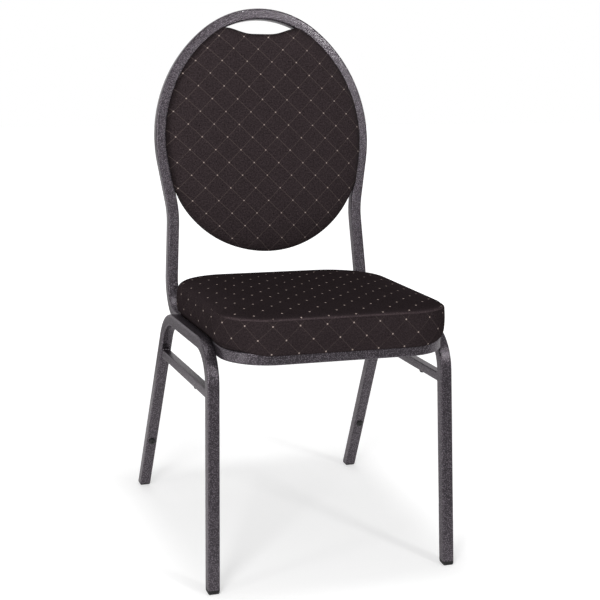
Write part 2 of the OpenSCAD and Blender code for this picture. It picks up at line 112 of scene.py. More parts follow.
class ChairFrameFinish(PropertyGroup):
    """Colours and grain of the frame's hammered coat, and its weld beads."""
    coat_dark: colour_setting("Coat, low spots", "Colour between the cells", 0.047, 0.040, 0.047)
    coat_light: colour_setting("Coat, cells", "Colour of the hammered cells", 0.172, 0.148, 0.172)
    cell: length_setting("Cell size", "Size of one hammered cell of the coat", 2.1 * MM, min=0.5 * MM)
    bead: length_setting("Weld width", "Width of a weld bead", 4.6 * MM, min=1 * MM)
    ripple: length_setting("Weld ripple", "From one ripple to the next", 1.7 * MM, min=0.5 * MM)


class ChairUpholstery(PropertyGroup):
    """Cloth of the seat and of the back, and how it sits on the foam."""
    cloth: colour_setting("Cloth", "Ground colour of the woven cloth", 0.0350, 0.0260, 0.0280)
    figure: colour_setting("Diagonals", "Colour of the thin diagonal lines", 0.085, 0.066, 0.062)
    dot: colour_setting("Dots", "Colour of the small woven dots", 0.40, 0.325, 0.295)
    back_across: repeat_setting("Back repeat, across", "Dot to dot along a row of the back", 47.4, -0.9)
    back_up: repeat_setting("Back repeat, up", "Dot to dot up a column of the back", -1.4, 46.3)
    seat_across: repeat_setting("Seat repeat, across", "Dot to dot along a row of the top", 46.6, 1.1)
    seat_up: repeat_setting("Seat repeat, back", "Dot to dot towards the top's rear", -2.1, 46.7)
    band_across: repeat_setting("Band repeat, along", "Dot to dot round the seat's band", 45.0, 0.0)
    band_up: repeat_setting("Band repeat, up", "Dot to dot up the seat's band", 1.8, 44.4)
    voxel: length_setting("Cloth grid", "Grid of the cloth simulation", 6 * MM, min=3 * MM)
    pressure: FloatProperty(
        name="Foam pressure", description="Pressure of the foam on the cover", default=4.0, min=0)
    frames: IntProperty(
        name="Frames", description="Frames that the cloth simulation runs", default=20, min=2)


class ChairStudio(PropertyGroup):
    """Where the camera stands and how it looks."""
    azimuth: angle_setting("Azimuth", "Where the camera stands round the chair", -19.487)
    elevation: angle_setting("Elevation", "Height of the camera over the horizon", 14.075)
    roll: angle_setting("Roll", "Turn of the camera about its own axis", 1.912)
    distance: length_setting("Distance", "From the camera to its target", 2.2754)
    lens: FloatProperty(name="Lens", description="Focal length in millimetres", default=78.94)
    target: FloatVectorProperty(
        name="Target", description="Point that the camera looks at",
        unit="LENGTH", size=3, default=(-0.00936, -0.0546, 0.4359))


# ---------------------------------------------------------------- small tools

def smoothstep(x, low, high):
    """0 below low, 1 above high, and smooth between them."""
    t = np.clip((np.asarray(x, float) - low) / (high - low), 0, 1)
    return t * t * (3 - 2 * t)


def mesh_points(mesh):
    """A mesh's points as an array."""
    points = np.zeros(len(mesh.vertices) * 3, np.float32)
    mesh.vertices.foreach_get("co", points)
    return points.reshape(-1, 3).astype(float)


def node_points(node, axes=None):
    """The points of a CAD node, in the shared frame or along a piece's own axes."""
    points = mesh_points(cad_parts[node].data)
    return points if axes is None else points @ axes.T


def axes_of(node, facing):
    """Right, up and outward axes of a flat CAD piece as rows. The outward one is nearest to facing."""
    facing = Vector(facing)
    total = Vector()
    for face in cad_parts[node].data.polygons:
        if face.normal.dot(facing) > 0.9:
            total += face.normal * face.area
    out = total.normalized()
    right = Vector((1, 0, 0))
    return np.array([right, out.cross(right), out])


SEAT_AXES = axes_of("seat_board", (0, 0, 1))
BACK_AXES = axes_of("back_board", (0, -0.98, 0.2))


def to_world(points, axes):
    """Points given along a piece's own axes, as points of the shared frame."""
    return np.asarray(points, float) @ axes


def new_object(name, mesh):
    """An object for the mesh, in the scene."""
    piece = bpy.data.objects.new(name, mesh)
    bpy.context.scene.collection.objects.link(piece)
    return piece


def plain_mesh(name, points, faces, edges=()):
    """A mesh from arrays of points and faces."""
    mesh = bpy.data.meshes.new(name)
    mesh.from_pydata([tuple(p) for p in points], [tuple(e) for e in edges], [tuple(f) for f in faces])
    mesh.validate()
    return mesh


def shell(name, rings, axes, uvs):
    """A closed skin through rings of points, all with the same count, with a pole at both ends.

    uvs holds one array per ring with one more column than the ring, so that a repeat can close."""
    count = len(rings[0])
    points = np.vstack([rings[0].mean(0), *rings, rings[-1].mean(0)])
    around = [(j, (j + 1) % count) for j in range(count)]
    faces, corners = [], []
    for k in range(len(rings) - 1):
        low = 1 + k * count
        for j, n in around:
            faces.append((low + j, low + n, low + count + n, low + count + j))
            corners += (uvs[k][j], uvs[k][j + 1], uvs[k + 1][j + 1], uvs[k + 1][j])
    end = len(points) - 1
    for j, n in around:
        faces += ((0, 1 + n, 1 + j), (end, end - count + j, end - count + n))
        corners += (uvs[0][:-1].mean(0), uvs[0][j + 1], uvs[0][j])
        corners += (uvs[-1][:-1].mean(0), uvs[-1][j], uvs[-1][j + 1])
    mesh = bpy.data.meshes.new(name)
    mesh.from_pydata([tuple(p) for p in to_world(points, axes)], [], faces)
    mesh.uv_layers.new(name="Pattern").data.foreach_set("uv", np.ravel(corners))
    mesh.polygons.foreach_set("use_smooth", [True] * len(faces))
    face_outwards(mesh)
    return new_object(name, mesh)


def face_outwards(mesh):
    """Turns every face of a closed mesh outwards."""
    work = bmesh.new()
    work.from_mesh(mesh)
    bmesh.ops.recalc_face_normals(work, faces=work.faces)
    work.to_mesh(mesh)
    work.free()


def set_points(mesh, points):
    """Moves a mesh's points."""
    mesh.vertices.foreach_set("co", np.asarray(points, np.float32).ravel())
    mesh.update()


def evaluated_mesh(piece):
    """What a piece looks like with its modifiers, as a new mesh."""
    graph = bpy.context.evaluated_depsgraph_get()
    return bpy.data.meshes.new_from_object(piece.evaluated_get(graph), depsgraph=graph)


def swelling(piece, axes, held, settings):
    """How foam pressure moves the piece's cover: points at rest and how far each one moves."""
    scene = bpy.context.scene
    trial = new_object(piece.name + "_trial", piece.data.copy())
    remesh = trial.modifiers.new("grid", "REMESH")
    remesh.mode = "VOXEL"
    remesh.voxel_size = settings.voxel
    grid = evaluated_mesh(trial)
    trial.modifiers.clear()
    trial.data = grid
    rest = mesh_points(grid)
    group = trial.vertex_groups.new(name="held")
    for i, weight in enumerate(held((rest @ axes.T)[:, 2])):
        if weight > 0:
            group.add([i], float(weight), "REPLACE")
    cloth = trial.modifiers.new("cover", "CLOTH")
    for name, value in (
            ("quality", 5), ("mass", 0.3), ("tension_stiffness", 15), ("compression_stiffness", 15),
            ("bending_stiffness", 0.5), ("use_pressure", True),
            ("uniform_pressure_force", settings.pressure), ("vertex_group_mass", group.name)):
        setattr(cloth.settings, name, value)
    cloth.settings.effector_weights.gravity = 0
    cloth.point_cache.frame_start = 1
    cloth.point_cache.frame_end = settings.frames
    for number in range(1, settings.frames + 1):
        scene.frame_set(number)
    swollen = evaluated_mesh(trial)
    moved = mesh_points(swollen) - rest
    scene.frame_set(1)
    bpy.data.objects.remove(trial)
    bpy.data.meshes.remove(swollen)
    return rest, moved


NEIGHBOURS = 6     # grid points that carry a point of the cover
NEAREST = 2 * MM   # added to their distances, so that a very near one doesn't take all the weight


def swell(piece, axes, held, share, height, settings):
    """Lets foam pressure shape the piece's cover. Its largest move is height.

    Both held and share take heights along the axes. held says how firmly the cover is held there, and
    share how much of the move it takes, from 0 to 1."""
    points = mesh_points(piece.data)
    rest, moved = swelling(piece, axes, held, settings)
    top = np.percentile(np.linalg.norm(moved, axis=1), 99)  # the few moves past it are cut to height
    if not 0 < top < 1:
        raise RuntimeError(f"the cover of {piece.name} didn't swell")
    moved = moved * (height / top)
    length = np.linalg.norm(moved, axis=1)
    moved *= np.minimum(1, height / np.maximum(length, 1e-9))[:, None]
    tree = KDTree(len(rest))
    for i, p in enumerate(rest):
        tree.insert(p, i)
    tree.balance()
    result = points.copy()
    for i, part in enumerate(share((points @ axes.T)[:, 2])):
        if part > 0:
            near = tree.find_n(points[i], NEIGHBOURS)
            weights = np.array([1 / (NEAREST + d) ** 2 for _, _, d in near])
            result[i] += sum(w * moved[j] for w, (_, j, _) in zip(weights, near)) / weights.sum() * part
    set_points(piece.data, result)


def finish_piece(piece, material, replaces=()):
    """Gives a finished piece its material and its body."""
    piece.data.materials.clear()
    piece.data.materials.append(material)
    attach(piece, BODY)
    if replaces:
        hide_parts(*replaces)
    return piece


# ---------------------------------------------------------------- nodes

class Output:
    """A node's output. Arithmetic on it adds Math nodes."""

    def __init__(self, wiring, socket):
        self.wiring, self.socket = wiring, socket

    def __add__(self, other):
        return self.wiring.math("ADD", self, other)

    def __sub__(self, other):
        return self.wiring.math("SUBTRACT", self, other)

    def __rsub__(self, other):
        return self.wiring.math("SUBTRACT", other, self)

    def __mul__(self, other):
        return self.wiring.math("MULTIPLY", self, other)

    def __truediv__(self, other):
        return self.wiring.math("DIVIDE", self, other)

    def __pow__(self, other):
        return self.wiring.math("POWER", self, other)

    def __abs__(self):
        return self.wiring.math("ABSOLUTE", self)


class Wiring:
    """A node tree that is filled by short calls."""

    def __init__(self, tree):
        self.tree = tree
        tree.nodes.clear()

    def feed(self, into, value):
        """Links an input from an output, or sets it."""
        if isinstance(value, Output):
            self.tree.links.new(value.socket, into)
        else:
            into.default_value = value

    def add(self, kind, feeds=None, *names, **properties):
        """Adds a node, sets its properties, feeds its inputs and returns the outputs with these names.

        Without names it returns the first output."""
        node = self.tree.nodes.new(kind)
        for key, value in properties.items():
            setattr(node, key, value)
        for key, value in (feeds or {}).items():
            self.feed(node.inputs[key], value)
        if not node.outputs:
            return None
        outputs = [Output(self, node.outputs[name]) for name in names or (0,)]
        return outputs if len(outputs) > 1 else outputs[0]

    def math(self, operation, *values):
        """The result of one Math node."""
        return self.add("ShaderNodeMath", dict(enumerate(values)), operation=operation)

    def ramp(self, value, low, high):
        """0 below low and 1 above high, smooth between."""
        return self.add("ShaderNodeMapRange", {"Value": value, "From Min": low, "From Max": high},
                        "Result", interpolation_type="SMOOTHSTEP")

    def mix(self, factor, a, b, data_type="RGBA", **properties):
        """Mixes two colours or numbers."""
        return self.add("ShaderNodeMix", {"Factor": factor, "A": a, "B": b}, "Result",
                        data_type=data_type, **properties)

    def noise(self, vector, scale, detail=2.0, roughness=0.5, distortion=0.0):
        """A noise from 0 to 1."""
        return self.add("ShaderNodeTexNoise", {
            "Vector": vector, "Scale": scale, "Detail": detail, "Roughness": roughness,
            "Distortion": distortion}, "Fac")

    def bump(self, height, distance, strength):
        """A surface direction that follows the height."""
        return self.add("ShaderNodeBump", {
            "Height": height, "Distance": distance, "Strength": strength})

    def object_coords(self):
        """Places in the piece's own space, in metres."""
        return self.add("ShaderNodeTexCoord", None, "Object")


class Finish(Wiring):
    """A material with one shader."""

    def __init__(self, name):
        self.material = bpy.data.materials.new(name)
        self.material.use_nodes = True
        super().__init__(self.material.node_tree)
        self.shader = self.tree.nodes.new("ShaderNodeBsdfPrincipled")
        self.add("ShaderNodeOutputMaterial", {"Surface": Output(self, self.shader.outputs["BSDF"])})

    def set(self, values):
        """Feeds the shader's own sockets and returns the material."""
        for name, value in values.items():
            self.feed(self.shader.inputs[name], value)
        return self.material


def node_group(name, sockets):
    """A geometry node group: its short calls and its inputs.

    Each socket is a name and a kind, with a subtype and a default where it has them."""
    tree = bpy.data.node_groups.new(name, "GeometryNodeTree")
    for label, kind, *rest in sockets:
        socket = tree.interface.new_socket(label, in_out="INPUT", socket_type="NodeSocket" + kind)
        if rest:
            socket.subtype, socket.default_value = rest
    tree.interface.new_socket("Geometry", in_out="OUTPUT", socket_type="NodeSocketGeometry")
    wiring = Wiring(tree)
    return wiring, wiring.add("NodeGroupInput", None, *[socket[0] for socket in sockets])


# ---------------------------------------------------------------- materials

def rgba(colour):
    """A colour with full alpha."""
    return (*colour, 1.0)


def shaded(colour, share):
    """A colour made darker or lighter."""
    return [c * share for c in colour]


def hammered_coat(settings):
    """Hammered powder coat: small pooled cells, a fine sparkle and low spots."""
    f, cell = Finish("hammered_coat"), settings.cell
    where = f.object_coords()
    wobble = f.add("ShaderNodeTexNoise", {"Vector": where, "Scale": 0.6 / cell}, "Color")
    warped = f.add("ShaderNodeVectorMath", {0: wobble, 1: (cell,) * 3, 2: where},
                   operation="MULTIPLY_ADD")
    distance = f.add("ShaderNodeTexVoronoi", {"Vector": warped, "Scale": 1 / cell, "Smoothness": 0.35},
                     "Distance", feature="SMOOTH_F1")
    pool = f.ramp(distance, 0.62, 0.12)
    grain = f.noise(where, 1.6 / cell, detail=3, roughness=0.65)
    drift = f.noise(where, 0.05 / cell)
    tone = grain * 0.5 + pool * 0.75 + drift * 0.08 - 0.20
    bumps = f.bump(pool * 0.8 + grain * 0.5, distance=0.35 * MM, strength=0.55)
    dark, light = rgba(settings.coat_dark), rgba(settings.coat_light)
    return f.set({
        "Base Color": f.mix(f.ramp(tone, 0.06, 0.86), dark, light), "Metallic": 0.75,
        "Roughness": grain * 0.20 + 0.25, "Specular Tint": (0.45, 0.42, 0.44, 1),
        "Normal": bumps, "Coat Weight": 0.33, "Coat Roughness": 0.12, "Coat Normal": bumps})


THREADS = 76            # warp threads in one repeat of the pattern
SIDE_FROM = (4.4, 5.6)  # repeats from the seat's middle at which its sides start, where dots look wider


def woven_cloth(name, painted_light, settings, ground, line_share, rising_colour, dot_size, melange, sheen=0.0):
    """Woven cloth with small dots on a half-drop repeat and thin diagonals that join them.

    The piece's Pattern map counts repeats, so dots lie on its whole and half numbers. The piece's
    attribute painted_light holds painted light and shade: above 0 the cloth is painted paler as a
    painted highlight, below 0 darker as a painted shade. melange says how uneven its colour is."""
    f = Finish(name)
    where = f.add("ShaderNodeUVMap", uv_map="Pattern")
    u, v = f.add("ShaderNodeSeparateXYZ", {0: where}, "X", "Y")

    def off_line(value):
        """Signed distance from the nearest whole number."""
        return f.math("FRACT", value + 0.5) - 0.5

    a, b = off_line(u + v), off_line(u - v)
    dot_width = (f.ramp(abs(u), *SIDE_FROM) * 0.55 + 1) * dot_size[0]
    reach = abs((a + b) * 0.5 / dot_width) ** 2.5 + abs((a - b) * 0.5 / dot_size[1]) ** 2.5
    dot = f.ramp(reach, 1.3, 0.7)
    falling_line, rising_line = (f.ramp(abs(off), 0.024, 0.008) for off in (a, b))
    line = f.math("MAXIMUM", rising_line * 0.75, falling_line)

    warp, weft = (f.math("SINE", place * (math.pi * THREADS)) for place in (u, v))
    weave = warp * weft * 0.5 + 0.5
    fleck = f.noise(where, 40, detail=4, roughness=0.7)
    body = f.noise(where, 1.3, detail=3)
    slub = f.noise(where, 17, detail=3, roughness=0.75)
    stitches = f.ramp(f.noise(where, 55, detail=1), 0.38, 0.56) * line_share
    # Painted light and shade, read from the piece's attribute.
    painted_light_factor = f.add("ShaderNodeAttribute", None, "Fac", attribute_name=painted_light) * 1.1 + 1

    shade = ((fleck * 0.8 + slub * 0.9 - 0.85) * melange + body * 0.3 + 0.85) * painted_light_factor
    cloth = f.mix(weave * 0.35, rgba(ground), rgba(shaded(ground, 0.55)))
    cloth = f.mix(1, cloth, shade, blend_type="MULTIPLY")
    cloth = f.mix(rising_line * stitches * 0.85, cloth, rgba(rising_colour))
    cloth = f.mix(falling_line * stitches, cloth, rgba(settings.figure))
    relief = dot * 0.9 + line * 0.35 + weave + fleck * 0.6
    return f.set({
        "Base Color": f.mix(dot, cloth, rgba(settings.dot)),
        "Roughness": 0.95, "Specular IOR Level": 0.0,
        "Sheen Weight": sheen, "Sheen Roughness": 0.45, "Sheen Tint": (0.75, 0.70, 0.70, 1),
        "Normal": f.bump(relief, distance=0.16 * MM, strength=0.7)})


def raw_plywood():
    """Plywood with its long grain."""
    f = Finish("raw_plywood")
    along = f.add("ShaderNodeMapping", {"Vector": f.object_coords(), "Scale": (160, 14, 160)})
    grain = f.noise(along, 1.0, detail=5, roughness=0.6, distortion=0.6)
    return f.set({
        "Base Color": f.mix(f.ramp(grain, 0.3, 0.75), (0.50, 0.34, 0.19, 1), (0.68, 0.52, 0.33, 1)),
        "Roughness": f.noise(along, 6.0) * 0.2 + 0.6,
        "Normal": f.bump(grain, distance=0.15 * MM, strength=0.4)})


def zinc_plate():
    """Bright zinc on screws, T-nuts and staples, a little cloudy."""
    f = Finish("zinc_plate")
    where = f.object_coords()
    cloud = f.noise(where, 260, detail=3)
    return f.set({
        "Base Color": f.mix(cloud, (0.52, 0.53, 0.56, 1), (0.74, 0.74, 0.75, 1)), "Metallic": 1.0,
        "Roughness": cloud * 0.2 + 0.24,
        "Normal": f.bump(f.noise(where, 1400), distance=0.05 * MM, strength=0.4)})


def moulded_black(name, colour, roughness, grain_size):
    """Black moulded plastic or rubber with a fine grain and pale scuffs."""
    f = Finish(name)
    where = f.object_coords()
    grain = f.noise(where, 1 / grain_size, detail=3, roughness=0.6)
    scuff = f.noise(where, 90, detail=4, roughness=0.7)
    pale = [c * 2.2 + 0.01 for c in colour]
    return f.set({
        "Base Color": f.mix(f.ramp(scuff, 0.5, 0.8), rgba(colour), rgba(pale)),
        "Roughness": grain * 0.16 + roughness,
        "Normal": f.bump(grain, distance=0.12 * MM, strength=0.5)})


def liner_felt():
    """Thin black non-woven cloth."""
    f = Finish("liner_felt")
    where = f.object_coords()
    fibre = f.noise(where, 900, detail=4, roughness=0.75, distortion=1.5)
    dimple = f.add("ShaderNodeTexVoronoi", {"Vector": where, "Scale": 420}, "Distance")
    return f.set({
        "Base Color": f.mix(fibre, (0.010, 0.010, 0.011, 1), (0.035, 0.035, 0.036, 1)),
        "Roughness": 0.95,
        "Normal": f.bump(fibre * 0.6 + dimple, distance=0.2 * MM, strength=0.6)})


def smooth_tree():
    """Node group that joins a CAD node's loose triangles and shades its bends smooth, edges kept."""
    w, (body, edge_angle) = node_group("Smooth tubes", (
        ("Geometry", "Geometry"), ("Edge angle", "Float", "ANGLE", math.radians(32))))
    body = w.add("GeometryNodeMergeByDistance", {"Geometry": body, "Distance": 0.002 * MM})
    body = w.add("GeometryNodeSetShadeSmooth", {"Geometry": body}, domain="FACE")
    turn = w.add("GeometryNodeInputMeshEdgeAngle", None, "Unsigned Angle")
    sharp = w.add("FunctionNodeCompare", {"A": turn, "B": edge_angle},
                  data_type="FLOAT", operation="GREATER_THAN")
    body = w.add("GeometryNodeSetShadeSmooth",
                 {"Geometry": body, "Selection": sharp, "Shade Smooth": False}, domain="EDGE")
    w.add("NodeGroupOutput", {"Geometry": body})
    return w.tree


def dress_nodes(names, material, tree):
    """Gives CAD nodes their material and smooth bends."""
    for name in names:
        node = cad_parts[name]
        node.data.materials.clear()
        node.data.materials.append(material)
        node.modifiers.new("smooth_tubes", "NODES").node_group = tree


# ---------------------------------------------------------------- rows along a path

def row_tree(name, round_shape):
    """Node group that sets one small shape after another along a path: round beads or square wires."""
    w, (path, step, *size, uneven, up, seed, material) = node_group(name, (
        ("Path", "Geometry"), ("Step", "Float", "DISTANCE", 4 * MM),
        *((side, "Float", "DISTANCE", 2 * MM) for side in ("Length", "Width", "Height")),
        ("Unevenness", "Float"), ("Up", "Vector"), ("Seed", "Int"), ("Material", "Material")))
    curve = w.add("GeometryNodeMeshToCurve", {"Mesh": path})
    curve = w.add("GeometryNodeResampleCurve", {"Curve": curve, "Length": step}, mode="LENGTH")
    points, tangent = w.add("GeometryNodeCurveToPoints", {"Curve": curve}, "Points", "Tangent",
                            mode="EVALUATED")
    stand = w.add("FunctionNodeAlignRotationToVector", {"Vector": up}, axis="Z")
    follow = w.add("FunctionNodeAlignRotationToVector", {"Rotation": stand, "Vector": tangent},
                   axis="X", pivot_axis="Z")
    share = w.add("FunctionNodeRandomValue", {"Min": 1 - uneven, "Max": uneven + 1, "Seed": seed},
                  "Value", data_type="FLOAT")
    size = w.add("ShaderNodeCombineXYZ", dict(zip("XYZ", size)))
    size = w.add("ShaderNodeVectorMath", {0: size, "Scale": share}, operation="SCALE")
    if round_shape:
        unit = w.add("GeometryNodeMeshUVSphere", {"Segments": 10, "Rings": 7, "Radius": 0.5})
    else:
        unit = w.add("GeometryNodeMeshCube", {"Size": (1, 1, 1)})
    row = w.add("GeometryNodeInstanceOnPoints",
                {"Points": points, "Instance": unit, "Rotation": follow, "Scale": size})
    row = w.add("GeometryNodeRealizeInstances", {"Geometry": row})
    row = w.add("GeometryNodeSetShadeSmooth", {"Geometry": row, "Shade Smooth": round_shape})
    row = w.add("GeometryNodeSetMaterial", {"Geometry": row, "Material": material})
    w.add("NodeGroupOutput", {"Geometry": row})
    return w.tree


def lay_row(name, paths, tree, slot, material, **values):
    """One piece of small shapes set along the paths, each a list of points and whether it closes."""
    points, edges = [], []
    for path, closed in paths:
        first = len(points)
        points += [tuple(p) for p in path]
        edges += [(first + i, first + i + 1) for i in range(len(path) - 1)]
        if closed:
            edges.append((len(points) - 1, first))
    piece = new_object(name, plain_mesh(name, points, [], edges))
    row = piece.modifiers.new("row", "NODES")
    row.node_group = tree
    values["Material"] = material
    for item in tree.interface.items_tree:
        if item.in_out == "INPUT" and item.name in values:
            row[item.identifier] = values[item.name]
    piece.update_tag()
    made = evaluated_mesh(piece)
    piece.modifiers.remove(row)
    piece.data = made
    made.name = name
    return finish_piece(piece, material)


# ---------------------------------------------------------------- frame

class CHAIR_OT_frame_coat(Operator):
    """Give the tubes, lugs and bars their hammered coat."""
    bl_idname = "chair.frame_coat"
    bl_label = "Frame Coat"

    def execute(self, context):
        dress_nodes(FRAME_NODES, hammered_coat(context.scene.chair_frame), smooth_tree())
        return {"FINISHED"}


class CHAIR_OT_fixings(Operator):
    """Give the boards, screws, T-nuts, glides and buffers their finishes."""
    bl_idname = "chair.fixings"
    bl_label = "Boards and Fixings"

    def execute(self, context):
        tree = bpy.data.node_groups["Smooth tubes"]
        dress_nodes(BOARD_NODES, raw_plywood(), tree)
        dress_nodes(FIXING_NODES, zinc_plate(), tree)
        plastic = moulded_black(
            "glide_plastic", (0.003, 0.003, 0.0035), roughness=0.70, grain_size=0.5 * MM)
        rubber = moulded_black(
            "buffer_rubber", (0.007, 0.007, 0.007), roughness=0.62, grain_size=0.8 * MM)
        dress_nodes(GLIDE_NODES, plastic, tree)
        dress_nodes(BUFFER_NODES, rubber, tree)
        return {"FINISHED"}


def surface_of(node):
    """A search tree over a CAD node's surface."""
    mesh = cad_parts[node].data
    return BVHTree.FromPolygons([v.co for v in mesh.vertices], [p.vertices for p in mesh.polygons])


END_SHARE = 0.3       # how far past a bar's middle its ends begin, as a share of its length
TOUCH_GAP = 0.8 * MM  # points of the bar as near as this to the other tube are on the joint
RIM_SHARE = 0.82      # of those, the outline's are as far out as this share of the farthest one
RAIL_DROP = 16 * MM   # middle of the seat's rail under the board
BEAD_DROP = 4.5 * MM  # rail bead under the rail's middle


def touching_loop(node, other, side, grow):
    """The outline where one end of a bar meets another tube, grown a little outwards.

    side picks the end: -1 for the one with the lower y, or x on a cross bar, and 1 for the other."""
    points = np.unique(node_points(node).round(6), axis=0)
    spread = points.max(0) - points.min(0)
    axis = int(spread.argmax())
    middle = (points[:, axis].max() + points[:, axis].min()) / 2
    points = points[(points[:, axis] - middle) * side > spread[axis] * END_SHARE]
    tree = surface_of(other)
    near = np.array([p for p in points if tree.find_nearest(Vector(p))[3] < TOUCH_GAP])
    centre = near.mean(0)
    flat = near - centre
    x, y, _ = np.linalg.svd(flat, full_matrices=False)[2] @ flat.T
    reach = np.hypot(x, y)
    outer = reach > reach.max() * RIM_SHARE
    order = np.argsort(np.arctan2(y[outer], x[outer]))
    loop = near[outer][order]
    out = loop - centre
    return loop + out / np.linalg.norm(out, axis=1)[:, None] * grow


def rail_welds(side, stations, length):
    """Short beads between a seat rail and the leg frame beside it, seen from under the seat."""
    leg = surface_of("right_leg_frame" if side > 0 else "left_leg_frame")
    rail = surface_of("back_hoop")
    low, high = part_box("seat_board")
    slope = SEAT_AXES[2][1]
    far_out = 0.35
    paths = []
    for y in stations:
        height = low.z - (y - high.y) * slope - RAIL_DROP
        inner = rail.ray_cast(Vector((side * far_out, y, height)), Vector((-side, 0, 0)))[0]
        outer = leg.ray_cast(Vector((0, y, height)), Vector((side, 0, 0)))[0]
        if inner is None or outer is None:
            continue
        x = (inner.x + outer.x) / 2 if abs(inner.x) < abs(outer.x) else outer.x
        steps = np.linspace(-length / 2, length / 2, 8)
        paths.append(([(x, y + s, height - BEAD_DROP - s * slope) for s in steps], False))
    return paths


class CHAIR_OT_welds(Operator):
    """Lay the weld beads where stretchers, cross bar, leg frames and seat ring meet."""
    bl_idname = "chair.welds"
    bl_label = "Welds"

    def execute(self, context):
        settings = context.scene.chair_frame
        paths = [(touching_loop(hand + "_stretcher", hand + "_leg_frame", end, grow=0.2 * MM), True)
                 for hand in ("left", "right") for end in (-1, 1)]
        paths += [(touching_loop("rear_cross_bar", "back_hoop", end, grow=0), True) for end in (-1, 1)]
        for side in (-1, 1):
            paths += rail_welds(side, stations=(-0.12, 0.0, 0.10), length=34 * MM)
        bead = settings.bead
        lay_row("weld_beads", paths, row_tree("Weld bead", True), "frame_coat",
                bpy.data.materials["hammered_coat"], Step=settings.ripple, Length=bead * 0.75,
                Width=bead * 0.85, Height=bead * 0.75, Unevenness=0.12, Up=(0, 0, 1), Seed=3)
        return {"FINISHED"}


# ---------------------------------------------------------------- seat

SEAM_HEIGHT = 52 * MM                    # seam over the board's lower face
FRONT_CORNER, REAR_CORNER = 86 * MM, 106 * MM
COLUMN_STEP = 5 * MM                     # width of a column of the cover's faces


class SeatShape:
    """The seat cushion's outline and heights along the seat's own axes, read from its CAD node."""

    def __init__(self):
        points = node_points("seat_cushion", SEAT_AXES)
        self.half, _, self.top = points.max(0)
        self.front, self.rear = points[:, 1].min(), points[:, 1].max()
        board = node_points("seat_board", SEAT_AXES)[:, 2]
        self.board_low, self.board_high = board.min(), board.max()
        self.seam = self.board_low + SEAM_HEIGHT
        self.columns()
        edge = self.outline(0)
        step = np.linalg.norm(np.roll(edge, -1, 0) - edge, axis=1)
        run = np.r_[0, np.cumsum(step)]
        self.run = run - run[np.argmin(np.abs(edge[:, 0]) + 10 * (edge[:, 1] - self.front))]

    def columns(self):
        """Centres, directions and radii of the outline's columns, from the rear middle by the left."""
        front_x, rear_x = self.half - FRONT_CORNER, self.half - REAR_CORNER
        front, rear = self.front + FRONT_CORNER, self.rear - REAR_CORNER
        stops = (  # centre, radius and the turn from one way to another, in degrees
            (0, rear, REAR_CORNER, 90, 90),
            (-rear_x, rear, REAR_CORNER, 90, 180),
            (-front_x, front, FRONT_CORNER, 180, 270),
            (front_x, front, FRONT_CORNER, 270, 360),
            (rear_x, rear, REAR_CORNER, 0, 90),
            (0, rear, REAR_CORNER, 90, 90),
        )
        rows = []
        for (*here, first, last), (*there, way, _) in zip(stops, stops[1:]):
            count = round(here[2] * math.radians(last - first) / COLUMN_STEP)
            rows += [(*here, first + (last - first) * t) for t in np.arange(count) / count]
            count = max(2, round(math.dist(here[:2], there[:2]) / COLUMN_STEP))
            rows += [(*(np.array(here) * (1 - t) + np.array(there) * t), way)
                     for t in np.arange(count) / count]
        x, y, self.radii, ways = np.array(rows).T
        self.centres = np.stack([x, y], 1)
        self.ways = np.stack([np.cos(np.radians(ways)), np.sin(np.radians(ways))], 1)

    def outline(self, inset):
        """The outline, set in by one number or one number a column."""
        return self.centres + self.ways * (self.radii - inset)[:, None]

    def ring(self, inset, height):
        """One ring of points. Inset and height are numbers, or arrays with one number a column."""
        flat = self.outline(inset)
        return np.column_stack([flat, np.broadcast_to(height, len(flat))])


SHOULDER = 11.0      # round shoulder of the seat's sides
CROWN_REACH = 24     # how far in the crown takes to rise
CROWN_EDGE = 57      # inset at which the crown's rings turn into scaled ones
LIP_INSET = 4.4      # inset of the seam lip's last ring
TOP_CLOTH_RINGS = 5  # rings of the lip that are cut from the top's cloth
SEAM_LIP = ((1.3, -3.2), (0.9, -2.4), (-0.3, -1.7), (-0.9, -0.6), (-0.9, 0.5), (-0.2, 1.5), (0.9, 1.9),
            (2.0, 1.3), (2.8, 0.3), (3.5, 0.1), (LIP_INSET, 0.5))  # inset and rise over the seam


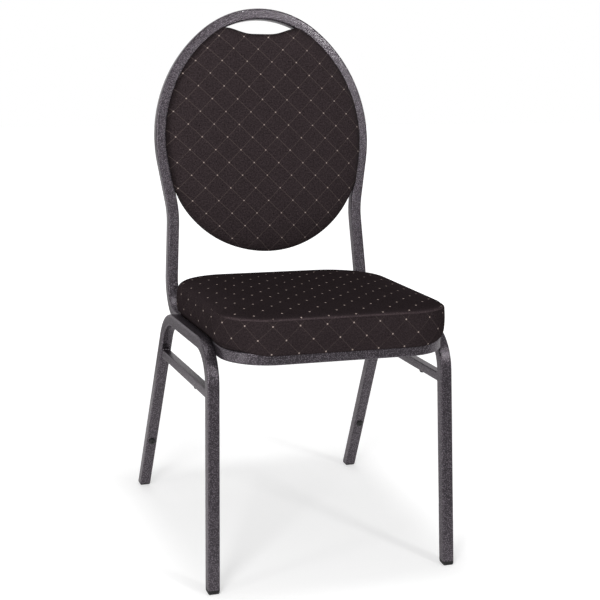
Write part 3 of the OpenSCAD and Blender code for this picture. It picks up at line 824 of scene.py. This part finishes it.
def seat_cover_rings(shape):
    """Rings of the seat cover from the board's pocket, round the band, over the seam to the crown.

    Insets are in millimetres. Also returns how many rings come before the crown."""
    run = shape.run[:-1]
    low, seam = shape.board_low, shape.seam
    front = 1 - smoothstep(np.abs(run), 128 * MM, 225 * MM)
    side = smoothstep(np.abs(run), 160 * MM, 235 * MM)
    crown = shape.top - seam

    def blend(side_value, front_value):
        """A value in millimetres that differs between the sides and the front."""
        return (side_value + (front_value - side_value) * front) * MM

    hem = low + blend(6.3, -4.9)  # the band's lower edge, which hangs a little below the board in front

    def crown_height(inset):
        """Height of the crown at an inset in millimetres."""
        return seam + 0.5 * MM + crown * (1 - math.exp(-inset / CROWN_REACH))

    def add(inset, height, side_inset, side_height):
        """Adds a ring that goes from the front's seam to the round shoulder of the sides."""
        rings.append(shape.ring((inset + (side_inset - inset) * side) * MM,
                                height + (side_height - height) * side))

    rings = [shape.ring(inset, height) for inset, height in (
        (9.0 * MM, shape.board_high + 0.25 * MM),
        (9.0 * MM, low - 0.35 * MM),
        (6.4 * MM, low - 0.45 * MM),
        (blend(6.0, 3.3), low - 0.4 * MM + (1 - front) * 2 * MM),
        (blend(6.0, 3.2), hem + 0.7 * MM),
        (blend(5.0, 2.4), hem + 0.05 * MM),
        (blend(3.0, 1.4), hem),
        (blend(1.4, 0.6), hem + 0.9 * MM),
        (blend(0.4, 0.1), hem + 3.2 * MM),
    )]
    seam_foot = seam - 4.4 * MM
    shoulder_foot = crown_height(0) - SHOULDER * MM
    for t in np.linspace(0, 1, 13)[1:]:
        bulge = -1.1 * math.sin(math.pi * t)
        base = (hem + 3.2 * MM) * (1 - t)
        add(bulge + t ** 6, base + seam_foot * t, bulge, base + shoulder_foot * t)
    stitch = 0.35 * (np.sin(run / (2.9 * MM)) * np.sin(run / (11 * MM) + 1) + np.sin(run / (15 * MM)))
    for k, (inset, rise) in enumerate(SEAM_LIP):
        turn = math.radians(90 * (k + 1) / len(SEAM_LIP))
        side_inset = SHOULDER * (1 - math.cos(turn))
        side_height = crown_height(side_inset) - SHOULDER * (1 - math.sin(turn)) * MM
        add(inset - stitch * (rise + 3.2) / 5, seam + (rise + 0.3) * MM, side_inset, side_height)
    band_count = len(rings)
    for inset in (5.6, 8, 12, 17, 23, 30, 38, 47, CROWN_EDGE):
        side_inset = SHOULDER + (inset - LIP_INSET) * (CROWN_EDGE - SHOULDER) / (CROWN_EDGE - LIP_INSET)
        add(inset, crown_height(inset), side_inset, crown_height(side_inset))
    edge = rings[-1]
    middle = np.array([0, (shape.front + shape.rear) / 2 - 10 * MM, 0])
    still_to_rise = crown * math.exp(-CROWN_EDGE / CROWN_REACH)
    for t in np.linspace(1, 0.04, 22)[1:]:
        ring = middle + (edge - middle) * np.array([t, t, 0])
        ring[:, 2] = crown_height(CROWN_EDGE) + still_to_rise * (1 - t * t)
        rings.append(ring)
    return rings, band_count


def pattern_map(points, start, across, up):
    """Counts repeats of the pattern from its dot at start, along its rows and up its columns."""
    return (points[:, :2] - np.array(start)) @ np.linalg.inv(np.array([across[:], up[:]]))


def seat_pattern(shape, rings, band_count, settings):
    """Pattern map of the seat: round the band by run and height, over the top by place."""
    corner, tightness = 240 * MM, 0.91
    along = np.abs(shape.run)
    run = np.sign(shape.run) * (np.minimum(along, corner) + np.maximum(along - corner, 0) * tightness)
    band_dot = (6.6 * MM, shape.seam - 9.6 * MM)
    top_dot = (7.0 * MM, shape.front + 195.4 * MM)
    uvs = []
    for k, ring in enumerate(rings):
        closed = np.vstack([ring, ring[:1]])
        if k <= band_count // 2:
            climb = closed[:, 2]
        elif k < band_count:
            step = np.linalg.norm(ring - rings[k - 1], axis=1)
            climb = climb + np.r_[step, step[:1]]
        if k < band_count - TOP_CLOTH_RINGS:
            places = np.column_stack([run, climb])
            uvs.append(pattern_map(places, band_dot, settings.band_across, settings.band_up))
        else:
            uvs.append(pattern_map(closed, top_dot, settings.seat_across, settings.seat_up))
    return uvs


GATHER_DEPTH = 0.55 * MM  # how far a gather moves out or in
GATHER_DROP = 0.35 * MM   # how far it pulls the cloth down


def pucker(points, shape):
    """Small gathers of the cover at the front corners, under and over the seam.

    Turns are in degrees from straight sideways, drops in millimetres under the seam."""
    local = points @ SEAT_AXES.T
    moved = local.copy()
    for side in (-1, 1):
        centre = np.array([side * (shape.half - FRONT_CORNER), shape.front + FRONT_CORNER])
        away = local[:, :2] - centre
        reach = np.linalg.norm(away, axis=1)
        turn = np.degrees(np.arctan2(away[:, 1], away[:, 0] * side))
        in_corner = smoothstep(turn, -88, -70) * (1 - smoothstep(turn, -20, 0))
        in_corner *= smoothstep(reach, 45 * MM, 80 * MM)
        drop = (shape.seam - local[:, 2]) / MM
        under = np.exp(-(np.maximum(drop, 0) / 14) ** 2) * np.exp(-(np.maximum(-drop, 0) / 3) ** 2)
        wave = np.sin(np.radians(turn * 13 + 40 * side)) + 0.6 * np.sin(np.radians(turn * 29))
        push = GATHER_DEPTH * wave * in_corner * under
        moved[:, :2] += away / np.maximum(reach, 1e-6)[:, None] * push[:, None]
        moved[:, 2] -= GATHER_DROP * np.abs(wave) * in_corner * under
    return moved @ SEAT_AXES


def add_point_values(piece, name, values):
    """Gives the piece a named value at each of its points."""
    piece.data.attributes.new(name, "FLOAT", "POINT").data.foreach_set("value", values)


class CHAIR_OT_seat(Operator):
    """Upholster the seat: boxed band, seam, crowned top and gathers at the front corners."""
    bl_idname = "chair.seat"
    bl_label = "Seat Cushion"

    def execute(self, context):
        settings = context.scene.chair_upholstery
        shape = SeatShape()
        rings, band_count = seat_cover_rings(shape)
        uvs = seat_pattern(shape, rings, band_count, settings)
        cover = shell("seat_cover", rings, SEAT_AXES, uvs)

        def at_seam(z, width):
            """1 on the seam, falling off within the width in millimetres."""
            return np.exp(-((z - shape.seam) / (width * MM)) ** 2)

        def above_board(z, low, high):
            """0 and 1 at two heights over the board's lower face, in millimetres."""
            return smoothstep(z - shape.board_low, low * MM, high * MM)

        x, y, z = (mesh_points(cover.data) @ SEAT_AXES.T).T
        behind = y - shape.front
        # Painted light on the cloth: a painted highlight on the front seam's ridge, and on the top's
        # cloth towards the round shoulders of the sides.
        ridge_highlight = at_seam(z + 0.2 * MM, 1.9) * (1 - smoothstep(behind, 25 * MM, 75 * MM))
        # Painted light: the top's cloth is painted paler towards the round shoulders of the sides, so
        # that its painted shade fades into the band's tone there.
        shoulder = 0.55 * np.exp(-(shape.half - np.abs(x)) / (30 * MM))
        shoulder *= smoothstep(behind, 45 * MM, 120 * MM)
        add_point_values(cover, "RidgeHighlight", ridge_highlight)
        add_point_values(cover, "TopPaintedLight", ridge_highlight + shoulder)
        swell(cover, SEAT_AXES,
              held=lambda z: np.maximum(1 - above_board(z, 8, 20), at_seam(z, 4) * 0.7),
              share=lambda z: above_board(z, 4, 22) * (1 - at_seam(z, 3) * 0.75),
              height=3.2 * MM, settings=settings)
        set_points(cover.data, pucker(mesh_points(cover.data), shape))
        # The seat's cloths are darker copies of the one cloth colour: the band's a little darker, and
        # the top's much darker, a painted shade over the whole top.
        band_cloth = woven_cloth(
            "seat_band_cloth", "RidgeHighlight", settings, shaded(settings.cloth, 0.86), line_share=0.62,
            rising_colour=(0.080, 0.062, 0.058), dot_size=(0.026, 0.027), melange=2.8)
        top_cloth = woven_cloth(
            "seat_top_cloth", "TopPaintedLight", settings, shaded(settings.cloth, 0.58), line_share=0.12,
            rising_colour=settings.figure, dot_size=(0.031, 0.034), melange=2.6)
        finish_piece(cover, band_cloth, ["seat_cushion"])
        cover.data.materials.append(top_cloth)
        first = len(rings[0]) * (band_count - TOP_CLOTH_RINGS)
        for face in cover.data.polygons:
            face.material_index = int(min(face.vertices) > first)
        return {"FINISHED"}


class CHAIR_OT_seat_underside(Operator):
    """Close the seat's underside with its thin liner and a row of staples."""
    bl_idname = "chair.seat_underside"
    bl_label = "Seat Underside"

    def execute(self, context):
        hem, staple_line = 18 * MM, 24 * MM  # insets from the cushion's outline
        thickness, sag, staple_drop = 0.5 * MM, 0.1 * MM, 0.35 * MM
        shape = SeatShape()
        flat = node_points("seat_liner", SEAT_AXES)
        z = flat[:, 2].min()
        edge = shape.ring(hem, z)
        middle = edge.mean(0)
        rings = []
        for t in np.linspace(1, 0.03, 16):
            ring = middle + (edge - middle) * np.array([t, t, 1])
            ring[:, 2] = z - sag * (1 - t * t)
            rings.append(ring)
        rings.insert(0, rings[0] + np.array([0, 0, thickness]))
        uvs = [np.zeros((len(edge) + 1, 2))] * len(rings)
        liner = shell("seat_liner_cloth", rings, SEAT_AXES, uvs)
        finish_piece(liner, liner_felt(), ["seat_liner"])
        path = to_world(shape.ring(staple_line, z - staple_drop), SEAT_AXES)
        lay_row("seat_staples", [(path, True)], row_tree("Staples", False), "zinc_fixings",
                bpy.data.materials["zinc_plate"], Step=38 * MM, Length=10 * MM, Width=1.1 * MM,
                Height=0.6 * MM, Unevenness=0.03, Up=tuple(SEAT_AXES[2]), Seed=5)
        return {"FINISHED"}


# ---------------------------------------------------------------- back

def widest_outline(node, axes, count):
    """The widest level outline of a CAD node, evenly spaced and softened, and its height."""
    points = np.unique(node_points(node, axes).round(6), axis=0)
    widest, height, outline = 0, None, None
    for z in np.unique(points[:, 2].round(4)):
        level = points[np.abs(points[:, 2] - z) < 0.06 * MM]
        if len(level) < 40:
            continue
        width = level[:, 0].max()
        if width > widest - 0.02 * MM:
            widest, height, outline = width, z, level[:, :2]
    away = outline - (outline.max(0) + outline.min(0)) / 2
    loop = outline[np.argsort(np.arctan2(away[:, 0], -away[:, 1]))]
    closed = np.vstack([loop, loop[:1]])
    run = np.r_[0, np.cumsum(np.linalg.norm(np.diff(closed, axis=0), axis=1))]
    places = (np.arange(count) + 0.5) / count * run[-1]
    even = np.stack([np.interp(places, run, closed[:, k]) for k in (0, 1)], 1)
    for _ in range(3):
        even = (np.roll(even, 1, 0) + 2 * even + np.roll(even, -1, 0)) / 4  # rounds off its steps
    return even, height


def outward(loop):
    """Outward directions along a loop that runs anticlockwise."""
    along = np.roll(loop, -1, 0) - np.roll(loop, 1, 0)
    out = np.stack([along[:, 1], -along[:, 0]], 1)
    return out / np.linalg.norm(out, axis=1)[:, None]


def depth_inside(points, loop):
    """How far inside the loop each point lies."""
    way = np.roll(loop, -1, 0) - loop
    t = ((points[:, None] - loop) * way).sum(2) / (way ** 2).sum(1)
    foot = loop + np.clip(t, 0, 1)[..., None] * way
    return np.linalg.norm(points[:, None] - foot, axis=2).min(1)


class BackPiece:
    """A back piece's widest outline on the plane of the back, and rings set in from it.

    The outline is free at the bottom, up to free_from over its lowest point, and runs along the hoop
    from free_to up."""

    def __init__(self, node, free_from, free_to):
        self.loop, self.height = widest_outline(node, BACK_AXES, count=300)
        self.out = outward(self.loop)
        self.bottom = self.loop[:, 1].min()
        self.free = 1 - smoothstep(self.loop[:, 1] - self.bottom, free_from, free_to)
        self.middle = np.array([0, (self.loop[:, 1].max() + self.bottom) / 2])
        self.reach = np.linalg.norm(self.loop - self.middle, axis=1).mean()

    def ring(self, hoop_inset, free_inset, hoop_z, free_z):
        """A ring of the side, with insets in millimetres by the hoop and where the piece is free."""
        inset = hoop_inset + (free_inset - hoop_inset) * self.free
        z = hoop_z + (free_z - hoop_z) * self.free
        return np.column_stack([self.loop - self.out * inset[:, None] * MM, z])

    def face_rings(self, insets, spacing, height_at):
        """Rings of the broad face, set in by the insets and then evenly, at height_at(depth)."""
        rings = []
        last = int(self.reach / MM) - 6
        for inset in (*insets, *range(insets[-1] + spacing, last, spacing)):
            flat = self.middle + (self.loop - self.middle) * (1 - inset * MM / self.reach)
            depth = depth_inside(flat, self.loop) if inset else np.zeros(len(flat))
            rings.append(np.column_stack([flat, height_at(depth)]))
        return rings

    def cover(self, name, rings, settings):
        """The piece through the rings, with the back's pattern on it."""
        dot = (-31.9 * MM, self.bottom + 210.2 * MM)
        uvs = [pattern_map(np.vstack([ring, ring[:1]]), dot, settings.back_across, settings.back_up)
               for ring in rings]
        return shell(name, rings, BACK_AXES, uvs)


PAD_PROFILE = (  # depth inside the pad's widest line and height over it, in millimetres
    (0, 0), (0.7, 2.0), (2, 4.2), (5, 7.9), (9, 10.9), (14, 13.4), (22, 16.2), (34, 18.8), (50, 20.6),
    (80, 21.9), (120, 22.6), (200, 23.0))


class CHAIR_OT_back(Operator):
    """Upholster the back: a domed pad over the front of the hoop, its cloth wrapped round the board."""
    bl_idname = "chair.back"
    bl_label = "Back Pad"

    def execute(self, context):
        settings = context.scene.chair_upholstery
        shape = BackPiece("back_cushion", free_from=92 * MM, free_to=125 * MM)
        ring, edge = shape.ring, shape.height
        board = node_points("back_board", BACK_AXES)[:, 2]
        tube_front = edge - 1.9 * MM
        rear = board.max() + 0.3 * MM
        wrap_in, wrap_out = board.min() - 0.2 * MM, board.min() - 0.7 * MM  # the cloth's two faces
        depths, rises = np.array(PAD_PROFILE).T * MM
        rings = [  # from the pocket for the board, round its edge, to the front
            ring(9.0, 9.0, rear, rear),
            ring(3.1, 1.3, rear, rear),
            ring(3.0, 1.2, wrap_in, wrap_in),
            ring(13.0, 13.0, wrap_in, wrap_in),
            ring(13.0, 13.0, wrap_out, wrap_out),
            ring(3.2, 1.3, wrap_out, wrap_out),
            ring(2.6, 0.6, wrap_in, wrap_in),
            ring(2.5, 0.3, rear - 3 * MM, rear - 3 * MM),
            ring(2.4, 0.1, tube_front - 0.2 * MM, rear),
            ring(1.3, 0.0, tube_front + 0.15 * MM, tube_front),
            ring(0.1, 0.0, tube_front + 0.3 * MM, tube_front + 0.6 * MM),
            *shape.face_rings((0, 0.5, 1.2, 2.2, 3.6, 5.5, 8, 11, 15, 20, 26, 34), 10,
                              lambda depth: edge + np.interp(depth, depths, rises)),
        ]
        pad = shape.cover("back_pad", rings, settings)
        swell(pad, BACK_AXES,
              held=lambda z: 1 - smoothstep(z - edge, 0, 6 * MM),
              share=lambda z: smoothstep(z - edge, 1 * MM, 10 * MM),
              height=2.0 * MM, settings=settings)
        # Painted shade: the pad's cloth is painted darker near its rim along the hoop, fading out over
        # a few millimetres.
        depth = np.array([depth_inside(level[:, :2], shape.loop) for level in rings])
        rim_shade = -0.5 * np.exp(-(depth / (6 * MM)) ** 2) * (1 - shape.free)
        add_point_values(pad, "RimShade", np.r_[0, rim_shade.ravel(), 0])
        cloth = woven_cloth(
            "back_cloth", "RimShade", settings, settings.cloth, line_share=1.0,
            rising_colour=settings.figure, dot_size=(0.0235, 0.0225), melange=3.6, sheen=0.04)
        finish_piece(pad, cloth, ["back_cushion"])
        return {"FINISHED"}


class CHAIR_OT_rear_cover(Operator):
    """Close the rear of the back with its covered panel."""
    bl_idname = "chair.rear_cover"
    bl_label = "Rear Cover"

    def execute(self, context):
        shape = BackPiece("back_rear_panel", free_from=84 * MM, free_to=108 * MM)
        panel = node_points("back_rear_panel", BACK_AXES)[:, 2]
        rear, front = panel.min(), panel.max()
        edge = node_points("back_board", BACK_AXES)[:, 2].min() - 0.5 * MM
        sides = (  # inset in millimetres, height by the hoop and height where the panel is free
            (12, front, front),
            (3.0, front, front),
            (1.6, front, edge),
            (0.6, front - 0.1 * MM, edge),
            (0.1, front - 0.8 * MM, edge - 1 * MM),
            (0.0, front - 1.6 * MM, front - 1 * MM),
            (0.2, rear + 0.9 * MM, rear + 1.2 * MM),
            (1.2, rear + 0.1 * MM, rear + 0.2 * MM),
        )
        rings = [shape.ring(inset, inset, hoop_z, free_z) for inset, hoop_z, free_z in sides]
        rings += shape.face_rings((3, 6, 10, 16, 24, 34), 12,
                                  lambda depth: rear - 1.6 * MM * (1 - np.exp(-depth / (14 * MM))))
        cover = shape.cover("back_rear_cover", rings, context.scene.chair_upholstery)
        finish_piece(cover, bpy.data.materials["back_cloth"], ["back_rear_panel"])
        return {"FINISHED"}


# ---------------------------------------------------------------- stage

AIM = (0, 0, 0.5)
LAMPS = (  # name, place, aim, width and height in metres, power in watts
    ("lamp_left", (-1.65, -2.2, 1.6), AIM, (0.8, 0.9), 41),
    ("lamp_side", (-2.1, -0.8, 1.6), AIM, (0.25, 0.9), 5),
    ("lamp_front", (1.20, -2.25, 1.95), AIM, (0.34, 0.34), 18),
    ("lamp_top", (0.0, 0.1, 2.6), AIM, (0.7, 0.9), 11),
    ("lamp_low", (-1.5, -0.75, 0.14), (0, -0.2, 0.36), (0.5, 0.16), 1.6),
)
FLOOR_HALF = 6.0     # half the floor's width
WHITE_SHARE = 0.40   # how strongly the white surroundings light matt surfaces


def soft_lamp(name, place, aim, size, power):
    """A large lamp that points at aim."""
    lamp = bpy.data.lights.new(name, "AREA")
    lamp.shape = "RECTANGLE"
    lamp.size, lamp.size_y = size
    lamp.energy = power
    piece = new_object(name, lamp)
    piece.location = place
    piece.rotation_mode = "QUATERNION"
    piece.rotation_quaternion = (Vector(aim) - Vector(place)).to_track_quat("-Z", "Y")


def ray_kinds(wiring):
    """1 for rays from the camera, and 1 for rays mirrored by or seen through a surface."""
    camera, glossy, through = wiring.add(
        "ShaderNodeLightPath", None, "Is Camera Ray", "Is Glossy Ray", "Is Transmission Ray")
    return camera, wiring.math("MAXIMUM", glossy, through)


def pale_floor():
    """Matt floor that keeps the chair's shadow, glows less under the chair as a painted shadow patch,
    and glows white away from the chair.

    The frame mirrors less of it: it is dark in front, in a strip behind the chair and far off."""
    f = Finish("studio_floor")
    camera, indirect = ray_kinds(f)
    x, y = f.add("ShaderNodeSeparateXYZ", {0: f.object_coords()}, "X", "Y")
    off_x, off_y = (f.math("MAXIMUM", abs(place) - (half - 20 * MM), 0)
                    for place, half in ((x, CAD_BOX[1][0]), (y, CAD_BOX[1][1])))
    away = f.math("SQRT", off_x * off_x + off_y * off_y)
    # Painted shadow: the glow is lowest under the chair, inside its box, and rises beside it and far
    # off, so a painted shadow patch lies under the chair.
    beside, far = f.ramp(away, 0.0, 0.12) * 0.13, f.ramp(away, 0.1, 1.6) * 0.28
    shadow_patch_glow = 0.472
    glow = beside + far + shadow_patch_glow
    strip = f.ramp(y, 0.8, 1.1) * f.ramp(y, 1.9, 1.45)
    mirrored = f.ramp(y, -0.8, -0.15) * (1 - strip - f.ramp(y, 3.2, 4.2) * 0.8)
    glow = f.math("MAXIMUM", camera, indirect) * glow * f.math("MAXIMUM", camera, mirrored)
    return f.set({
        "Base Color": (0.62, 0.62, 0.62, 1), "Roughness": 0.9, "Specular IOR Level": 0.1,
        "Emission Color": (1, 1, 1, 1), "Emission Strength": glow})


def white_surroundings():
    """A world that is white for the camera and for rays mirrored rearwards, and lights softly."""
    world = bpy.data.worlds.new("surroundings")
    world.use_nodes = True
    w = Wiring(world.node_tree)
    camera, indirect = ray_kinds(w)
    way = w.add("ShaderNodeSeparateXYZ", {0: w.add("ShaderNodeTexCoord", None, "Generated")}, "Y")
    seen = w.math("MAXIMUM", camera, indirect * w.ramp(way, 0.1, 0.7))
    glow = w.add("ShaderNodeBackground", {
        "Color": (1, 1, 1, 1), "Strength": w.mix(seen, WHITE_SHARE, 1.0, "FLOAT")})
    w.add("ShaderNodeOutputWorld", {"Surface": glow})
    return world


def new_camera(studio):
    """The camera, placed by the studio's settings."""
    a, e, r = studio.azimuth, studio.elevation, studio.roll
    back = Vector((math.sin(a) * math.cos(e), -math.cos(a) * math.cos(e), math.sin(e)))
    right = Vector((math.cos(a), math.sin(a), 0))
    up = back.cross(right)
    right, up = right * math.cos(r) + up * math.sin(r), up * math.cos(r) - right * math.sin(r)
    camera = new_object("camera", bpy.data.cameras.new("camera"))
    camera.data.lens = studio.lens
    camera.data.sensor_width = 36
    camera.data.clip_end = 50
    camera.rotation_mode = "QUATERNION"
    camera.location = Vector(studio.target) + back * studio.distance
    camera.rotation_quaternion = Matrix((right, up, back)).transposed().to_quaternion()
    return camera


class CHAIR_OT_studio(Operator):
    """Set up the camera, the floor, the lamps and the white surroundings."""
    bl_idname = "chair.studio"
    bl_label = "Studio"

    def execute(self, context):
        scene = context.scene
        scene.camera = new_camera(scene.chair_studio)
        corners = [(x * FLOOR_HALF, y * FLOOR_HALF, 0) for x, y in ((-1, -1), (1, -1), (1, 1), (-1, 1))]
        floor = new_object("floor", plain_mesh("floor", corners, [(0, 1, 2, 3)]))
        floor.data.materials.append(pale_floor())
        for lamp in LAMPS:
            soft_lamp(*lamp)
        scene.world = white_surroundings()
        scene.view_settings.view_transform = "Standard"
        return {"FINISHED"}


# ---------------------------------------------------------------- panel and registration

class CHAIR_PT_panel(Panel):
    """Lists the chair's steps."""
    bl_idname = "CHAIR_PT_panel"
    bl_label = "Stacking Chair"
    bl_space_type = "VIEW_3D"
    bl_region_type = "UI"
    bl_category = "Chair"

    def draw(self, context):
        for step in STEPS:
            self.layout.operator(step.bl_idname)


STEPS = (
    CHAIR_OT_frame_coat,
    CHAIR_OT_fixings,
    CHAIR_OT_welds,
    CHAIR_OT_seat,
    CHAIR_OT_seat_underside,
    CHAIR_OT_back,
    CHAIR_OT_rear_cover,
    CHAIR_OT_studio,
)
GROUPS = (ChairFrameFinish, ChairUpholstery, ChairStudio)


def register():
    """Makes the settings, the steps and the panel known to Blender."""
    for kind in (*GROUPS, *STEPS, CHAIR_PT_panel):
        bpy.utils.register_class(kind)
    bpy.types.Scene.chair_frame = PointerProperty(type=ChairFrameFinish)
    bpy.types.Scene.chair_upholstery = PointerProperty(type=ChairUpholstery)
    bpy.types.Scene.chair_studio = PointerProperty(type=ChairStudio)


def unregister():
    """Takes them away again."""
    del bpy.types.Scene.chair_frame
    del bpy.types.Scene.chair_upholstery
    del bpy.types.Scene.chair_studio
    for kind in reversed((*GROUPS, *STEPS, CHAIR_PT_panel)):
        bpy.utils.unregister_class(kind)


def main():
    """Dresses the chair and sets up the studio."""
    register()
    for step in STEPS:
        group, name = step.bl_idname.split(".")
        getattr(getattr(bpy.ops, group), name)()


if __name__ == "__main__":
    main()
